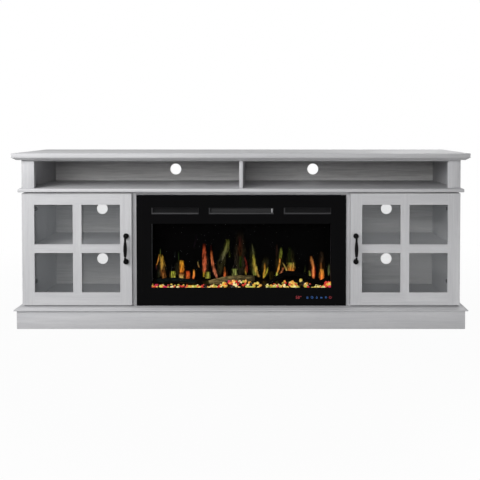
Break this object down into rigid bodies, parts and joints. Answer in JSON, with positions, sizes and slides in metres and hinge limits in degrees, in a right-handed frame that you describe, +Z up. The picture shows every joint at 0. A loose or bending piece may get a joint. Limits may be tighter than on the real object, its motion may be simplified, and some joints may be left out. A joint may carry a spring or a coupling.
{
  "type": "fireplace tv stand",
  "caption": "Long TV stand in pale grey wood-grain laminate, with open cubbies under the top, glazed side doors on concealed hinges and an electric firebox in the middle.",
  "frame": {"origin": "on the floor under the middle of the stand's bounding box", "axes": "+X to the viewer's right along the stand, +Y to the back, +Z up"},
  "size_m": [1.966, 0.4, 0.7612],
  "materials": {
    "laminate": "pale grey wood-grain laminate on board, satin",
    "back_board": "thin grey printed hardboard, matte",
    "smoked_glass": "clear glass with a faint grey tint, polished",
    "black_glass": "tempered glass enamelled black behind, with a clear window, polished",
    "black_enamel": "black powder coat, satin",
    "black_steel": "black plated steel, satin",
    "nickel": "nickel plated steel, satin",
    "housing_steel": "black painted sheet steel, matte",
    "flame_screen": "smoked acrylic screen, satin on its back",
    "log_resin": "cast resin painted as charred bark, matte",
    "ember_crystal": "moulded tray with clear crystals lit from below",
    "bright_metal": "bright rolled aluminium"
  },
  "bodies": {
    "case": {"bay_top_rail": "laminate", "bottom_panel": "laminate", "centre_divider": "laminate", "centre_log": "log_resin", "ember_bed": "ember_crystal", "firebox_housing": "housing_steel", "flame_screen": "flame_screen", "front_glass": "black_glass", "heater_element": "bright_metal", "left_back_panel": "back_board", "left_log": "log_resin", "left_lower_hinge_arm": "black_steel", "left_lower_side": "laminate", "left_partition": "laminate", "left_pilaster": "laminate", "left_shelf": "laminate", "left_shelf_pin_inner_back": "nickel", "left_shelf_pin_inner_front": "nickel", "left_shelf_pin_outer_back": "nickel", "left_shelf_pin_outer_front": "nickel", "left_upper_hinge_arm": "black_steel", "left_upper_side": "laminate", "mid_panel": "laminate", "plinth_back": "laminate", "plinth_front": "laminate", "plinth_left": "laminate", "plinth_right": "laminate", "right_back_panel": "back_board", "right_log": "log_resin", "right_lower_hinge_arm": "black_steel", "right_lower_side": "laminate", "right_partition": "laminate", "right_pilaster": "laminate", "right_shelf": "laminate", "right_shelf_pin_inner_back": "nickel", "right_shelf_pin_inner_front": "nickel", "right_shelf_pin_outer_back": "nickel", "right_shelf_pin_outer_front": "nickel", "right_upper_hinge_arm": "black_steel", "right_upper_side": "laminate", "top_front_rail": "laminate", "top_moulding": "laminate", "top_panel": "laminate", "upper_back_panel": "back_board"},
    "left_door": {"left_door_frame": "laminate", "left_door_glass": "smoked_glass", "left_handle": "black_enamel", "left_upper_hinge_cup": "black_steel", "left_lower_hinge_cup": "black_steel"},
    "left_hinge_links": {"left_upper_hinge_link": "black_steel", "left_lower_hinge_link": "black_steel"},
    "right_door": {"right_door_frame": "laminate", "right_door_glass": "smoked_glass", "right_handle": "black_enamel", "right_upper_hinge_cup": "black_steel", "right_lower_hinge_cup": "black_steel"},
    "right_hinge_links": {"right_upper_hinge_link": "black_steel", "right_lower_hinge_link": "black_steel"},
    "blower": {"blower_wheel": "black_steel"},
    "flame_spindle": {"flame_rotor": "bright_metal"}
  },
  "joints": [
    {"name": "left_door_swing", "type": "hinge", "parent": "case", "child": "left_door", "pos_m": [-0.945, -0.1625, 0.3444], "axis": [0, 0, -1], "range_deg": [0, 95]},
    {"name": "right_door_swing", "type": "hinge", "parent": "case", "child": "right_door", "pos_m": [0.945, -0.1625, 0.3444], "axis": [0, 0, 1], "range_deg": [0, 95]},
    {"name": "left_link_swing", "type": "hinge", "parent": "case", "child": "left_hinge_links", "pos_m": [-0.9211, -0.1451, 0.3444], "axis": [0, 0, 1], "range_deg": [0, 30]},
    {"name": "right_link_swing", "type": "hinge", "parent": "case", "child": "right_hinge_links", "pos_m": [0.9211, -0.1451, 0.3444], "axis": [0, 0, -1], "range_deg": [0, 30]},
    {"name": "blower_spin", "type": "hinge", "parent": "case", "child": "blower", "pos_m": [0, -0.1005, 0.5072], "axis": [1, 0, 0], "continuous": true},
    {"name": "flame_rotor_spin", "type": "hinge", "parent": "case", "child": "flame_spindle", "pos_m": [0, -0.0485, 0.1705], "axis": [1, 0, 0], "continuous": true}
  ],
  "couplings": [
    {"joint": "left_link_swing", "follows": "left_door_swing", "ratio": 0.304},
    {"joint": "right_link_swing", "follows": "right_door_swing", "ratio": 0.304}
  ]
}
